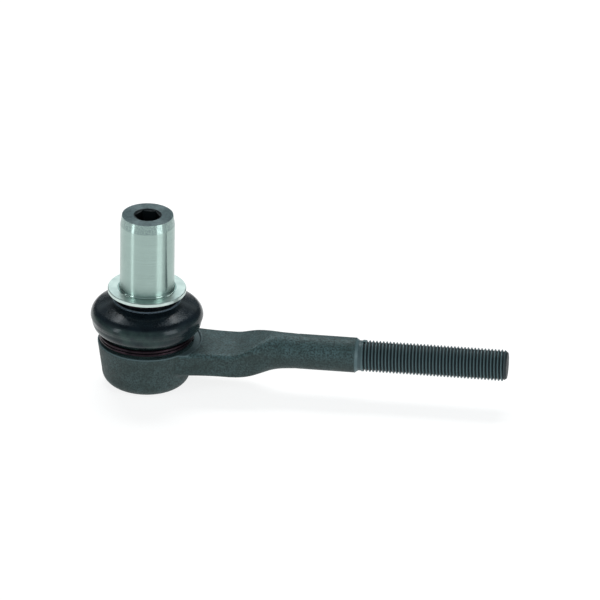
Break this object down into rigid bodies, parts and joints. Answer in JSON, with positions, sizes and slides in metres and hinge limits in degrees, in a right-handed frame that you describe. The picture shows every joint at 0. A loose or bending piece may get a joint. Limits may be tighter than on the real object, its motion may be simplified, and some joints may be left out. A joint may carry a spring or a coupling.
{
  "type": "tie rod end",
  "caption": "Ball-joint tie rod end: cylindrical clamp pin with hex socket and seat washer, rubber boot, forged housing with flat arm and externally threaded shank.",
  "frame": {"origin": "centre of the seat washer's upper face, on the clamp pin's axis", "axes": "+Z along the clamp pin away from the ball, +X along the arm and threaded shank"},
  "size_m": [0.1848, 0.0496, 0.0812],
  "materials": {
    "forged_steel": "matte phosphated forging",
    "ground_steel": "ground",
    "washer_steel": "satin plated",
    "bearing_plastic": "satin",
    "spring_steel": "satin",
    "cover_steel": "satin",
    "boot_rubber": "satin",
    "ring_wire": "satin"
  },
  "bodies": {
    "housing": {"housing": "forged_steel", "bearing_shell": "bearing_plastic", "pressure_seat": "bearing_plastic", "disc_spring": "spring_steel", "cover_plate": "cover_steel", "lower_clamp_ring": "ring_wire"},
    "boot": {"boot": "boot_rubber"},
    "boot_collar": {"upper_clamp_ring": "ring_wire"},
    "ball_stud": {"ball_stud": "ground_steel", "seat_washer": "washer_steel"}
  },
  "joints": [
    {"name": "swing_x", "type": "hinge", "parent": "housing", "child": "boot", "pos_m": [0, 0, -0.0265], "axis": [1, 0, 0], "range_deg": [-20, 20], "deforming": ["boot"]},
    {"name": "swing_y", "type": "hinge", "parent": "boot", "child": "boot_collar", "pos_m": [0, 0, -0.0265], "axis": [0, 1, 0], "range_deg": [-20, 20]},
    {"name": "spin", "type": "hinge", "parent": "boot_collar", "child": "ball_stud", "pos_m": [0, 0, -0.0265], "axis": [0, 0, 1], "continuous": true}
  ]
}
